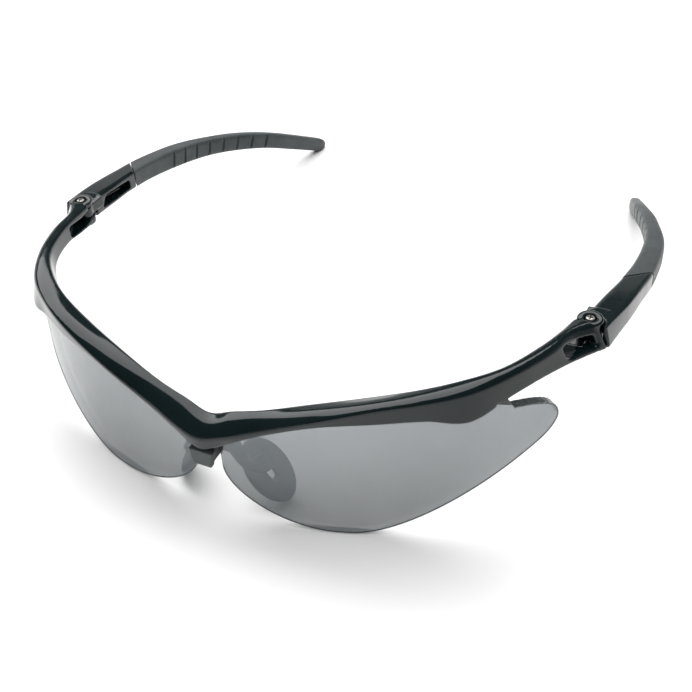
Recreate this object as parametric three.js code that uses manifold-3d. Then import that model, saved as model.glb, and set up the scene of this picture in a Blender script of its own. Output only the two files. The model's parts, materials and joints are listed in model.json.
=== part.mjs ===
// Half-frame safety glasses: a one-piece wraparound lens hangs under a brow frame, a nose bridge
// carries two soft pads, and each temple is a hard arm with a soft sleeve, folding on a screw hinge.
//
// Millimetres. +X is the wearer's left, -Y is the way the wearer looks, +Z is up. The glasses stand
// open on a table: the lens's lower edge and the two sleeve tips touch the plane Z = 0.

import * as THREE from 'three';
import { mergeVertices } from 'three/addons/utils/BufferGeometryUtils.js';
import Module from 'manifold-3d';

const wasm = await Module();
wasm.setup();

// ---------------------------------------------------------------- driving dimensions

const GAP = 0.3; // clearance between neighbouring pieces
const MODEL_CENTRE_Y = 75.55; // the origin lies this far behind the drawing's own zero, mid-depth

// The lens is a slice of an upright elliptical cylinder.
const LENS_THICKNESS = 1.9;
const EDGE_FOCUS_Y = 82; // the lens's edges are cut along lines that meet above X = 0 at this Y
const WRAP_HALF_WIDTH = 68.5;
const WRAP_DEPTH = 49;
const WRAP_FRONT_Y = 1.6;
const NOSE_NOTCH_HALF_WIDTH = 3.1;
const LENS_FLAT_START_X = 26.5; // the flat bottom edge that the lens stands on
const LENS_FLAT_END_X = 29;

// Hinge: an upright screw through two leaves of the brow frame and the arm's knuckle between them.
const HINGE_X = 64;
const HINGE_Y = 51.2;
const LEAF_RADIUS = 2.8;
const LEAF_TOP_Z = 34.3;
const SLOT_TOP_Z = 32.9;
const SLOT_BOTTOM_Z = 29.8;
const LEAF_BOTTOM_Z = 28;
const SCREW_RADIUS = 0.6;
const SCREW_HEAD_RADIUS = 1;
const SCREW_HEAD_HEIGHT = 0.7;
const NUT_RADIUS = 1.5;
const NUT_HEIGHT = 1.3;
const KNUCKLE_RADIUS = 2.5;
const KNUCKLE_BORE_RADIUS = 0.9;
const WINDOW_FRONT_Y = 39.2; // the window in the frame's end, just in front of the hinge
const WINDOW_REAR_Y = 48.3;
const FOLD_ROOM_Y = 54.8; // the arm's inner half starts here, so that it clears the frame when folded

// Temple: a hard arm, then a soft sleeve pushed over the arm's tongue.
const TEMPLE_START_Y = 50.2;
const JOINT_INNER_Y = 74; // the joint between arm and sleeve slants back from the inner face
const JOINT_OUTER_Y = 80.5;
const JOINT_INNER_X = 64.6;
const JOINT_OUTER_X = 70.8;
const TONGUE_LENGTH = 17;
const TONGUE_WIDTH = 2.6;
const TONGUE_HEIGHT = 2.2;
const GROOVE_COUNT = 8;
const GROOVE_FIRST_Y = 92.5;
const GROOVE_PITCH_Y = 4.9;
const GROOVE_WIDTH = 0.7;
const GROOVE_DEPTH = 0.45;

// Nose bridge and pads.
const TAB_WIDTH = 5.6;
const TAB_BOTTOM_WIDTH = 4.4;
const TAB_TOP_Z = 18.9;
const TAB_BOTTOM_Z = 15;
const TAB_THICKNESS = 1.3;
const TAB_FRONT_Y = -1;
const PAD_LENGTH = 17;
const PAD_WIDTH = 9.8;
const PAD_THICKNESS = 2.2;
const PAD_SLOT_LENGTH = 5.2;
const PAD_SLOT_WIDTH = 1.7;
const PAD_ARM_THICKNESS = 1.2;

// ---------------------------------------------------------------- materials

const finish = (color, roughness, metalness) => () => (
  new THREE.MeshStandardMaterial({ color, roughness, metalness })
);
const glossBlack = finish(0x0e1214, 0.12, 0);
const mirroredGrey = finish(0x949c9e, 0.06, 0.5);
const softBlack = finish(0x3a4042, 0.7, 0);
const padRubber = finish(0x2c3133, 0.6, 0);
const brightSteel = finish(0xd2d4d3, 0.22, 1);
const brass = finish(0xb89a5e, 0.35, 1);

// ---------------------------------------------------------------- solids and meshes

const point = (x, y, z) => new THREE.Vector3(x, y, z);

function solidOf(geometry) {
  const bare = geometry.clone();
  bare.deleteAttribute('normal');
  bare.deleteAttribute('uv');
  const merged = mergeVertices(bare, 1e-4);
  return new wasm.Manifold(new wasm.Mesh({
    numProp: 3,
    vertProperties: new Float32Array(merged.attributes.position.array),
    triVerts: new Uint32Array(merged.index.array),
  }));
}

function geometryOf(solid) {
  const { vertProperties, triVerts } = solid.getMesh();
  const geometry = new THREE.BufferGeometry();
  geometry.setAttribute('position', new THREE.BufferAttribute(vertProperties, 3));
  geometry.setIndex(new THREE.BufferAttribute(triVerts, 1));
  return geometry;
}

function turnedInsideOut(geometry) {
  const { index } = geometry;
  for (let i = 0; i < index.count; i += 3) {
    const second = index.getX(i + 1);
    index.setX(i + 1, index.getX(i + 2));
    index.setX(i + 2, second);
  }
  return geometry;
}

// The same geometry on the other side of the plane X = 0.
const mirrored = (geometry) => turnedInsideOut(geometry.clone().scale(-1, 1, 1));

// The volume inside a closed geometry, negative where its faces point inward.
function volumeOf(geometry) {
  const { index } = geometry;
  const corner = (i) => new THREE.Vector3().fromBufferAttribute(geometry.attributes.position, index.getX(i));
  let sixVolumes = 0;
  for (let i = 0; i < index.count; i += 3) {
    sixVolumes += corner(i).dot(corner(i + 1).cross(corner(i + 2)));
  }
  return sixVolumes / 6;
}

// A closed solid through a row of rings, each with the same number of points.
function loft(rings) {
  const sides = rings[0].length;
  const positions = rings.flat().flatMap((p) => p.toArray());
  const index = [];
  for (let r = 0; r + 1 < rings.length; r += 1) {
    for (let s = 0; s < sides; s += 1) {
      const a = r * sides + s;
      const b = r * sides + ((s + 1) % sides);
      index.push(a, b, a + sides, b, b + sides, a + sides);
    }
  }
  for (const [ring, first] of [[0, true], [rings.length - 1, false]]) {
    const middle = rings[ring].reduce((sum, p) => sum.add(p), point(0, 0, 0)).divideScalar(sides);
    const centre = positions.length / 3;
    positions.push(...middle.toArray());
    for (let s = 0; s < sides; s += 1) {
      const a = ring * sides + s;
      const b = ring * sides + ((s + 1) % sides);
      index.push(...(first ? [centre, b, a] : [centre, a, b]));
    }
  }
  const geometry = new THREE.BufferGeometry();
  geometry.setAttribute('position', new THREE.Float32BufferAttribute(positions, 3));
  geometry.setIndex(index);
  return volumeOf(geometry) > 0 ? geometry : turnedInsideOut(geometry);
}

// A ring through the given corners, each corner cut back and rounded by a short curve.
function roundedRing(corners, radius) {
  return corners.flatMap((corner, i) => {
    const before = corners[(i + corners.length - 1) % corners.length];
    const after = corners[(i + 1) % corners.length];
    const cut = Math.min(radius, 0.42 * corner.distanceTo(before), 0.42 * corner.distanceTo(after));
    const from = corner.clone().add(before.clone().sub(corner).setLength(cut));
    const to = corner.clone().add(after.clone().sub(corner).setLength(cut));
    return new THREE.QuadraticBezierCurve3(from, corner, to).getPoints(2);
  });
}

// An outline in X and Z, made solid between two Y planes.
function prismAlongY(shape, fromY, toY, curveSegments = 12) {
  const options = { depth: toY - fromY, bevelEnabled: false, curveSegments };
  return new THREE.ExtrudeGeometry(shape, options).rotateX(Math.PI / 2).translate(0, toY, 0);
}

// An outline in Y and Z, made solid between two X planes.
function prismAlongX(shape, fromX, toX, curveSegments = 12) {
  const options = { depth: toX - fromX, bevelEnabled: false, curveSegments };
  const geometry = new THREE.ExtrudeGeometry(shape, options);
  return geometry.rotateX(Math.PI / 2).rotateZ(Math.PI / 2).translate(fromX, 0, 0);
}

function block(fromX, toX, fromY, toY, fromZ, toZ) {
  const geometry = new THREE.BoxGeometry(toX - fromX, toY - fromY, toZ - fromZ);
  return geometry.translate((fromX + toX) / 2, (fromY + toY) / 2, (fromZ + toZ) / 2);
}

// An upright cylinder on the left hinge's axis.
function hingeCylinder(radius, fromZ, toZ, segments = 32) {
  const geometry = new THREE.CylinderGeometry(radius, radius, toZ - fromZ, segments);
  return geometry.rotateX(Math.PI / 2).translate(HINGE_X, HINGE_Y, (fromZ + toZ) / 2);
}

// ---------------------------------------------------------------- lens

// The wrap's front surface, and the shell behind it.
function lensShell(margin) {
  const centreY = WRAP_FRONT_Y + WRAP_DEPTH;
  const inward = LENS_THICKNESS + margin;
  const shape = new THREE.Shape();
  shape.absellipse(0, centreY, WRAP_HALF_WIDTH + margin, WRAP_DEPTH + margin, Math.PI, 2 * Math.PI);
  shape.lineTo(WRAP_HALF_WIDTH - inward, centreY);
  shape.absellipse(0, centreY, WRAP_HALF_WIDTH - inward, WRAP_DEPTH - inward, 2 * Math.PI, Math.PI, true);
  const geometry = new THREE.ExtrudeGeometry(shape, { depth: 60, bevelEnabled: false, curveSegments: 34 });
  return geometry.translate(0, 0, -10);
}

// Upper edge of the lens from the middle outwards. It sits in the brow frame's groove up to x = 55.
function lensTopEdge(raise) {
  const edge = [[0, 21.4], [10, 25.3], [20, 29.4], [30, 32.4], [40, 33.9], [50, 33.4], [55, 31.8]];
  return edge.map(([x, z]) => new THREE.Vector2(x, z + raise));
}

// Y of the lens's front surface at a given X.
function lensFrontY(x) {
  return WRAP_FRONT_Y + WRAP_DEPTH * (1 - Math.sqrt(1 - (x / WRAP_HALF_WIDTH) ** 2));
}

// A solid that cuts the shell to an outline given on the lens's front surface, square to that surface.
function edgeCutter(halfOutline) {
  const taper = (x) => EDGE_FOCUS_Y / (EDGE_FOCUS_Y - lensFrontY(x));
  const spread = halfOutline.map((p) => new THREE.Vector2(p.x * taper(p.x), p.y));
  const other = spread.filter((p) => p.x > 0).reverse().map((p) => new THREE.Vector2(-p.x, p.y));
  const geometry = prismAlongY(new THREE.Shape([...spread, ...other]), 0, 60);
  const { position } = geometry.attributes;
  for (let i = 0; i < position.count; i += 1) {
    position.setX(i, position.getX(i) * (1 - position.getY(i) / EDGE_FOCUS_Y));
  }
  return solidOf(geometry);
}

// The left half of the lens's outline, from the nose notch round to the middle of the top edge.
function lensHalfOutline() {
  const half = new THREE.Path();
  half.moveTo(0, 20.3);
  half.lineTo(NOSE_NOTCH_HALF_WIDTH - 0.5, 20.3);
  half.lineTo(NOSE_NOTCH_HALF_WIDTH, 19.6);
  half.lineTo(NOSE_NOTCH_HALF_WIDTH, 14);
  half.bezierCurveTo(3.2, 6.5, 16.5, 0, LENS_FLAT_START_X, 0);
  half.lineTo(LENS_FLAT_END_X, 0);
  half.bezierCurveTo(37, 0, 50.2, 8.6, 61.6, 18.7);
  half.bezierCurveTo(63.1, 20.2, 64, 22, 63.8, 23.8);
  half.bezierCurveTo(63.5, 27.2, 61.4, 29.2, 57.4, 30);
  half.lineTo(55, 31.8);
  const top = new THREE.SplineCurve(lensTopEdge(0)).getPoints(12).reverse();
  return [...half.getPoints(9), ...top.slice(1)];
}

function lens() {
  return geometryOf(solidOf(lensShell(0)).intersect(edgeCutter(lensHalfOutline())));
}

// The space that the lens needs under the brow frame.
function lensGroove() {
  const top = new THREE.SplineCurve(lensTopEdge(GAP)).getPoints(12);
  const beyond = [[57.4, 31], [65, 30.6], [65, -5], [0, -5]].map(([x, z]) => new THREE.Vector2(x, z));
  return solidOf(lensShell(GAP)).intersect(edgeCutter([...top, ...beyond]));
}

// ---------------------------------------------------------------- brow frame

// Cross-sections from the middle to the left hinge: rear top edge, front top edge, front lower edge.
const BROW_SECTIONS = [
  [[0, 4.5, 25.4], [0, -1.6, 23], [0, -1, 19.4]],
  [[5.5, 4.8, 27.3], [6, -0.9, 24.4], [6, 0.1, 21.8]],
  [[12, 5.5, 29.2], [12, 0.6, 26.6], [12, 0.9, 25.1]],
  [[22, 7.7, 32.2], [24, 2.3, 32], [24, 2.9, 30.1]],
  [[33.5, 11.6, 34.8], [36, 6.3, 36.1], [36, 6.7, 32]],
  [[42, 15.5, 36.4], [44.3, 11.3, 36.8], [44.4, 11.1, 32]],
  [[48, 20, 37], [51.4, 17.6, 37], [51.4, 15.4, 30.6]],
  [[53.6, 26.5, 36.8], [57, 26.4, 36.5], [57.4, 25.2, 32.1]],
  [[57.8, 36.5, 35.8], [61, 36.8, 35.5], [62.5, 36.4, 31.2]],
  [[59.6, 43.5, 34.8], [62.6, 44.8, 34.8], [66, 44.8, 29.4]],
  [[60.8, 49.6, 34.1], [66, 49.8, 34.1], [68.6, 49.8, 28.4]],
];
const BROW_CROWN = 0.55; // how far the middle of the top bulges
const BROW_EDGE_RADIUS = 1.1;
const STEPS_PER_SECTION = 3;

// Each edge runs through all its points from the right hinge to the left one.
function browEdge(pick) {
  const left = BROW_SECTIONS.map((section) => point(...pick(section)));
  const right = left.slice(1).reverse().map((p) => point(-p.x, p.y, p.z));
  return new THREE.CatmullRomCurve3([...right, ...left], false, 'centripetal');
}

function browBar() {
  const rearTop = browEdge(([rear]) => rear);
  const frontTop = browEdge(([, front]) => front);
  const frontLow = browEdge(([, , low]) => low);
  const rearLow = browEdge(([[x, y], , low]) => [x - 0.2 * Math.sign(x), y + 0.7, low[2] + 0.4]);
  const steps = 2 * (BROW_SECTIONS.length - 1) * STEPS_PER_SECTION;
  const rings = [];
  for (let i = 0; i <= steps; i += 1) {
    const t = i / steps;
    const rear = rearTop.getPoint(t);
    const front = frontTop.getPoint(t);
    const crown = rear.clone().lerp(front, 0.5).add(point(0, 0, BROW_CROWN));
    const corners = [rear, crown, front, frontLow.getPoint(t), rearLow.getPoint(t)];
    rings.push(roundedRing(corners, BROW_EDGE_RADIUS));
  }
  return loft(rings);
}

// A window right through the frame's end. It drops towards the hinge and both its ends are rounded.
function hingeWindow() {
  const front = WINDOW_FRONT_Y;
  const rear = WINDOW_REAR_Y;
  const shape = new THREE.Shape();
  shape.moveTo(rear, 30.6);
  shape.lineTo(rear, 31.6);
  shape.quadraticCurveTo(rear, 32.3, rear - 0.7, 32.5);
  shape.lineTo(front + 1.8, 34.1);
  shape.quadraticCurveTo(front, 34.5, front, 33.1);
  shape.quadraticCurveTo(front, 31.7, front + 1.5, 31.3);
  shape.lineTo(rear - 0.7, 29.9);
  shape.quadraticCurveTo(rear, 29.8, rear, 30.6);
  return prismAlongX(shape, 50, 76, 4);
}

// The room between the two leaves: open to the inside, closed by a thin wall on the outside.
function knuckleRoom() {
  const inside = block(50, HINGE_X, WINDOW_REAR_Y - 2, 60, SLOT_BOTTOM_Z, SLOT_TOP_Z);
  const round = hingeCylinder(KNUCKLE_RADIUS + GAP, SLOT_BOTTOM_Z, SLOT_TOP_Z);
  const behind = block(50, 76, HINGE_Y, 60, SLOT_BOTTOM_Z, SLOT_TOP_Z);
  return geometryOf(solidOf(inside).add(solidOf(round)).add(solidOf(behind)));
}

// What is added to and taken from the left end of the bar to make its hinge.
function hingeLeaves() {
  return solidOf(hingeCylinder(LEAF_RADIUS, LEAF_BOTTOM_Z, LEAF_TOP_Z));
}

function hingeCuts() {
  const seatBottom = LEAF_TOP_Z - SCREW_HEAD_HEIGHT - GAP;
  const headSeat = hingeCylinder(SCREW_HEAD_RADIUS + GAP, seatBottom, LEAF_TOP_Z + 2);
  const shaftHole = hingeCylinder(SCREW_RADIUS + GAP, LEAF_BOTTOM_Z - 1, LEAF_TOP_Z + 1);
  const nutPocket = hingeCylinder(NUT_RADIUS + GAP, LEAF_BOTTOM_Z - 1, SLOT_BOTTOM_Z + 0.1, 6);
  return [hingeWindow(), knuckleRoom(), headSeat, shaftHole, nutPocket];
}

function browFrame() {
  const leaves = geometryOf(hingeLeaves());
  let frame = solidOf(browBar()).subtract(lensGroove());
  frame = frame.add(solidOf(leaves)).add(solidOf(mirrored(leaves)));
  for (const cut of hingeCuts()) {
    const plain = geometryOf(solidOf(cut));
    frame = frame.subtract(solidOf(plain)).subtract(solidOf(mirrored(plain)));
  }
  return geometryOf(frame);
}

// ---------------------------------------------------------------- hinge hardware

function hingeScrew() {
  const headBottom = LEAF_TOP_Z - SCREW_HEAD_HEIGHT;
  let screw = solidOf(hingeCylinder(SCREW_HEAD_RADIUS, headBottom, LEAF_TOP_Z, 24));
  screw = screw.add(solidOf(hingeCylinder(SCREW_RADIUS, LEAF_BOTTOM_Z + 0.4, headBottom + 0.1, 16)));
  const recess = [[0.7, 0.14], [0.14, 0.7]];
  for (const [alongX, alongY] of recess) {
    const bar = block(HINGE_X - alongX, HINGE_X + alongX, HINGE_Y - alongY, HINGE_Y + alongY,
      LEAF_TOP_Z - 0.4, LEAF_TOP_Z + 1);
    screw = screw.subtract(solidOf(bar));
  }
  return geometryOf(screw);
}

function hingeNut() {
  const nut = solidOf(hingeCylinder(NUT_RADIUS, LEAF_BOTTOM_Z + 0.1, LEAF_BOTTOM_Z + NUT_HEIGHT, 6));
  return geometryOf(nut.subtract(solidOf(hingeCylinder(SCREW_RADIUS + GAP, LEAF_BOTTOM_Z - 1, 32, 16))));
}

// ---------------------------------------------------------------- temples

// Middle line of the left temple, from the hinge to the tip.
const TEMPLE_LINE = new THREE.CatmullRomCurve3([
  point(65.2, 48, 31.2), point(66.3, 60, 29.5), point(67.3, 72, 27.5), point(67.7, 84, 25.2),
  point(66.2, 100, 21.8), point(62, 114, 18.3), point(57.1, 126.5, 13.8), point(52.8, 141, 6.4),
  point(50.1, 152.4, 0.2),
]);
// Width, outer face's lean and height at these parts of its length, 0 at the hinge and 1 at the tip.
const TEMPLE_WIDTH = [[0, 7], [0.12, 6.6], [0.24, 5.6], [0.4, 5.1], [0.58, 3.9], [0.75, 3.2], [1, 3]];
const OUTER_LEAN = [[0, 0.35], [0.14, 0.12], [0.26, 0], [1, 0]];
const TEMPLE_HEIGHT = [[0, 5.2], [0.24, 4.8], [0.42, 5.2], [0.6, 4.9], [0.8, 4.5], [1, 4]];

function valueAt(table, t) {
  const next = table.findIndex(([position]) => position >= t);
  if (next <= 0) return table[0][1];
  const [fromT, fromValue] = table[next - 1];
  const [toT, toValue] = table[next];
  return THREE.MathUtils.lerp(fromValue, toValue, THREE.MathUtils.smoothstep(t, fromT, toT));
}

// One ring of the temple at t along its line. squareness 1 is an ellipse, nearer 0 is a box. lean is
// how much of the half width the outer face loses on its way up.
function templeRing(t, width, height, squareness, lean, sides) {
  const centre = TEMPLE_LINE.getPointAt(t);
  const along = TEMPLE_LINE.getTangentAt(t);
  const outward = point(0, 0, 1).cross(along).normalize().negate();
  const upward = along.clone().cross(outward).normalize();
  if (upward.z < 0) upward.negate();
  const ring = [];
  for (let s = 0; s < sides; s += 1) {
    const angle = ((s + 0.5) / sides) * 2 * Math.PI;
    const up = Math.sign(Math.sin(angle)) * Math.abs(Math.sin(angle)) ** squareness;
    const straightAcross = Math.sign(Math.cos(angle)) * Math.abs(Math.cos(angle)) ** squareness;
    const across = Math.min(straightAcross, 1 - lean * (up + 1) / 2);
    const offset = outward.clone().multiplyScalar(across * width / 2);
    ring.push(centre.clone().add(offset).addScaledVector(upward, up * height / 2));
  }
  return ring;
}

function templeStretch(fromT, toT, steps, squareness, sides, sizeAt) {
  const rings = [];
  for (let i = 0; i <= steps; i += 1) {
    const t = THREE.MathUtils.lerp(fromT, toT, i / steps);
    const [width, height, lean] = sizeAt(t);
    rings.push(templeRing(t, width, height, squareness, lean, sides));
  }
  return loft(rings);
}

const templeSize = (t) => [valueAt(TEMPLE_WIDTH, t), valueAt(TEMPLE_HEIGHT, t), valueAt(OUTER_LEAN, t)];

// How far along the temple's line a given Y lies.
function partAtY(y) {
  let low = 0;
  let high = 1;
  for (let i = 0; i < 30; i += 1) {
    const middle = (low + high) / 2;
    if (TEMPLE_LINE.getPointAt(middle).y < y) low = middle;
    else high = middle;
  }
  return low;
}

// A big block whose front face is the slanting joint between arm and sleeve, moved back by offset.
function behindJoint(offset) {
  const slant = Math.atan2(JOINT_OUTER_Y - JOINT_INNER_Y, JOINT_OUTER_X - JOINT_INNER_X);
  const size = 120;
  const geometry = new THREE.BoxGeometry(size, size, size).translate(0, size / 2 + offset, 0);
  return geometry.rotateZ(slant).translate(JOINT_INNER_X, JOINT_INNER_Y, 25);
}

function tongue(margin, length) {
  const start = partAtY(JOINT_INNER_Y - 4);
  const end = partAtY(JOINT_INNER_Y + 4 + length + margin);
  const size = () => [TONGUE_WIDTH + 2 * margin, TONGUE_HEIGHT + 2 * margin, 0];
  return solidOf(templeStretch(start, end, 6, 0.35, 8, size));
}

function armPocket() {
  const shape = new THREE.Shape();
  shape.moveTo(58.2, 28.5);
  shape.lineTo(70, 26.6);
  shape.quadraticCurveTo(71.6, 26.4, 71.5, 27.4);
  shape.quadraticCurveTo(71.4, 28.6, 70.4, 28.8);
  shape.lineTo(60.4, 31);
  shape.quadraticCurveTo(58.9, 31.2, 58.2, 30.2);
  shape.quadraticCurveTo(57.1, 28.7, 58.2, 28.5);
  return prismAlongX(shape, 55, HINGE_X + 2.4, 4);
}

function knuckle() {
  const fromZ = SLOT_BOTTOM_Z + GAP;
  const toZ = SLOT_TOP_Z - GAP;
  const neck = block(HINGE_X - 2, HINGE_X + KNUCKLE_RADIUS, HINGE_Y, HINGE_Y + 6, fromZ, toZ);
  return solidOf(hingeCylinder(KNUCKLE_RADIUS, fromZ, toZ)).add(solidOf(neck));
}

function templeArm() {
  let arm = solidOf(templeStretch(0, partAtY(86), 12, 0.42, 16, templeSize));
  arm = arm.subtract(solidOf(block(50, 80, 40, TEMPLE_START_Y, 20, 40)));
  arm = arm.subtract(solidOf(behindJoint(0)));
  arm = arm.subtract(solidOf(hingeCylinder(LEAF_RADIUS + 0.4, 20, 40, 40)));
  arm = arm.subtract(solidOf(block(55, HINGE_X, 40, FOLD_ROOM_Y, 20, 40)));
  arm = arm.add(knuckle()).add(tongue(0, TONGUE_LENGTH));
  arm = arm.subtract(solidOf(hingeCylinder(KNUCKLE_BORE_RADIUS, 20, 40, 20)));
  return geometryOf(arm.subtract(solidOf(armPocket())));
}

// The sleeve's tip closes in a rounded end.
function sleeveSize(t) {
  const [width, height, lean] = templeSize(t);
  const roundFrom = 0.965;
  const past = Math.max(0, (t - roundFrom) / (1 - roundFrom));
  const shrink = Math.sqrt(Math.max(0.02, 1 - past * past));
  return [width * shrink, height * shrink, lean];
}

function gripGroove(number) {
  const t = partAtY(GROOVE_FIRST_Y + number * GROOVE_PITCH_Y);
  const centre = TEMPLE_LINE.getPointAt(t);
  const along = TEMPLE_LINE.getTangentAt(t);
  const [width] = templeSize(t);
  const cutter = new THREE.BoxGeometry(2, GROOVE_WIDTH, 12).translate(-width / 2 - 1 + GROOVE_DEPTH, 0, 0);
  cutter.rotateZ(Math.atan2(-along.x, along.y));
  return solidOf(cutter.translate(centre.x, centre.y, centre.z));
}

function templeSleeve() {
  let sleeve = solidOf(templeStretch(partAtY(70), 1, 34, 0.55, 16, sleeveSize));
  sleeve = sleeve.intersect(solidOf(behindJoint(GAP)));
  sleeve = sleeve.subtract(tongue(GAP, TONGUE_LENGTH));
  for (let number = 0; number < GROOVE_COUNT; number += 1) {
    sleeve = sleeve.subtract(gripGroove(number));
  }
  return geometryOf(sleeve.subtract(solidOf(block(30, 80, 100, 170, -10, 0))));
}

// ---------------------------------------------------------------- nose bridge and pads

// The left pad lies in a slanting plane: it splays outward to the rear and towards its lower end.
const PAD_CENTRE = point(9.8, 9, 8.3);
const PAD_OUTWARD = point(1, -0.42, 0.55).normalize();
const PAD_DOWN = point(6, 2.5, -16).projectOnPlane(PAD_OUTWARD).normalize();
const PAD_ACROSS = PAD_DOWN.clone().cross(PAD_OUTWARD);

// Puts a flat geometry, lying in X and Y, into the pad's plane, offset along its outward normal.
function inPadPlane(geometry, offset) {
  const basis = new THREE.Matrix4().makeBasis(PAD_ACROSS, PAD_DOWN, PAD_OUTWARD.clone());
  basis.setPosition(PAD_CENTRE.clone().addScaledVector(PAD_OUTWARD, offset));
  return geometry.applyMatrix4(basis);
}

function slotPath(path, length, width, centreY) {
  const straight = (length - width) / 2;
  path.absarc(0, centreY + straight, width / 2, 0, Math.PI);
  path.absarc(0, centreY - straight, width / 2, Math.PI, 2 * Math.PI);
  path.closePath();
  return path;
}

function nosePad() {
  const shape = new THREE.Shape();
  shape.absellipse(0, 0, PAD_WIDTH / 2, PAD_LENGTH / 2, 0, 2 * Math.PI);
  shape.holes.push(slotPath(new THREE.Path(), PAD_SLOT_LENGTH, PAD_SLOT_WIDTH, 0));
  const bevel = 0.6;
  const geometry = new THREE.ExtrudeGeometry(shape, {
    depth: PAD_THICKNESS - 2 * bevel,
    bevelThickness: bevel,
    bevelSize: bevel,
    bevelOffset: -bevel,
    bevelSegments: 1,
    curveSegments: 9,
  });
  return geometryOf(solidOf(inPadPlane(geometry.translate(0, 0, bevel), -PAD_THICKNESS)));
}

// A point given by its distances from the pad's centre: towards the lens, down the pad and outward.
function padPoint(forward, down, outward) {
  const offset = PAD_ACROSS.clone().multiplyScalar(forward).addScaledVector(PAD_DOWN, down);
  return PAD_CENTRE.clone().add(offset).addScaledVector(PAD_OUTWARD, outward);
}

// A flat strap through the given places, each with its centre, its width vector and its depth vector.
function strap(stations, steps) {
  const corners = [[-0.5, -0.5], [0.5, -0.5], [0.5, 0.5], [-0.5, 0.5]];
  const edges = corners.map(([alongWidth, alongDepth]) => new THREE.CatmullRomCurve3(
    stations.map(([centre, width, depth]) => centre.clone()
      .addScaledVector(width, alongWidth).addScaledVector(depth, alongDepth)),
  ));
  return loft(Array.from({ length: steps + 1 }, (_, i) => edges.map((edge) => edge.getPoint(i / steps))));
}

// The left arm of the bridge: it leaves sideways, then turns back along the outer face of the pad.
// Its peg holds in the upper end of the pad's slot.
function padArm() {
  const offset = GAP + PAD_ARM_THICKNESS / 2;
  const flatOnPad = (width) => [
    PAD_DOWN.clone().multiplyScalar(-width),
    PAD_OUTWARD.clone().multiplyScalar(-PAD_ARM_THICKNESS),
  ];
  const arm = strap([
    [point(3.3, 5.5, 16.5), point(0.5, 0, 4.2), point(0, 1.4, 0)],
    [point(6.9, 4.9, 13.8), point(1.3, 0.1, 3.8), point(0.2, PAD_ARM_THICKNESS, 0)],
    [padPoint(2.2, -4, offset + 0.3), ...flatOnPad(4.6)],
    [padPoint(-0.6, -2.6, offset), ...flatOnPad(4.2)],
  ], 10);
  const peg = new THREE.BoxGeometry(PAD_SLOT_WIDTH - 2 * GAP, 1.1, PAD_THICKNESS);
  peg.translate(0, GAP + 0.6 - PAD_SLOT_LENGTH / 2, GAP + 0.2 - PAD_THICKNESS / 2);
  return solidOf(arm).add(solidOf(inPadPlane(peg, 0)));
}

function noseBridge() {
  const tab = new THREE.Shape();
  tab.moveTo(-TAB_WIDTH / 2, TAB_TOP_Z);
  tab.lineTo(-TAB_BOTTOM_WIDTH / 2, TAB_BOTTOM_Z);
  tab.lineTo(TAB_BOTTOM_WIDTH / 2, TAB_BOTTOM_Z);
  tab.lineTo(TAB_WIDTH / 2, TAB_TOP_Z);
  tab.closePath();
  const tabBack = TAB_FRONT_Y + TAB_THICKNESS;
  let bridge = solidOf(prismAlongY(tab, TAB_FRONT_Y, tabBack));
  const saddle = block(-2.5, 2.5, tabBack - 0.2, 6.6, 16.2, TAB_TOP_Z);
  bridge = bridge.add(solidOf(saddle));
  bridge = bridge.add(solidOf(block(-4.4, 4.4, 4.5, 6.6, 15, TAB_TOP_Z)));
  const arm = geometryOf(padArm());
  return geometryOf(bridge.add(solidOf(arm)).add(solidOf(mirrored(arm))));
}

// ---------------------------------------------------------------- assembly

function addMesh(parent, name, geometry, material) {
  const mesh = new THREE.Mesh(geometry, material);
  mesh.name = name;
  parent.add(mesh);
}

// Adds one side's piece, made for the left side, and mirrors it for the right.
function addSidePiece(parent, baseName, side, leftGeometry, material) {
  const geometry = side.sign > 0 ? leftGeometry.clone() : mirrored(leftGeometry);
  addMesh(parent, `${baseName}_${side.name}`, geometry, material);
}

const SIDES = [{ name: 'left', sign: 1 }, { name: 'right', sign: -1 }];

function buildFront() {
  const front = new THREE.Group();
  addMesh(front, 'brow_frame', browFrame(), glossBlack());
  addMesh(front, 'lens', lens(), mirroredGrey());
  addMesh(front, 'nose_bridge', noseBridge(), padRubber());
  for (const side of SIDES) {
    addSidePiece(front, 'nose_pad', side, nosePad(), padRubber());
    addSidePiece(front, 'hinge_screw', side, hingeScrew(), brightSteel());
    addSidePiece(front, 'hinge_nut', side, hingeNut(), brass());
  }
  return front;
}

// Each temple is a group that stands on its hinge axis, so that turning the group folds it.
function buildTemple(side) {
  const temple = new THREE.Group();
  temple.position.set(side.sign * HINGE_X, HINGE_Y, 0);
  const fromHinge = (geometry) => geometry.translate(-HINGE_X, -HINGE_Y, 0);
  addSidePiece(temple, 'temple_arm', side, fromHinge(templeArm()), glossBlack());
  addSidePiece(temple, 'temple_sleeve', side, fromHinge(templeSleeve()), softBlack());
  return temple;
}

const glasses = new THREE.Group();
glasses.add(buildFront(), ...SIDES.map(buildTemple));
glasses.position.y = -MODEL_CENTRE_Y;

export default glasses;
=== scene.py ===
"""Half-frame safety glasses: the looks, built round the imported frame.

The glasses stand open on a pale table: a gloss-black brow frame holds a one-piece mirrored lens,
a rubber bridge carries two soft pads, and each temple is a gloss arm with a soft sleeve.
Shapes are worked out in millimetres on the drawing's own axes and placed by the hinge's position.
"""

import json
import math

import bmesh
import bpy
import numpy as np
from mathutils import Matrix, Vector


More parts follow.
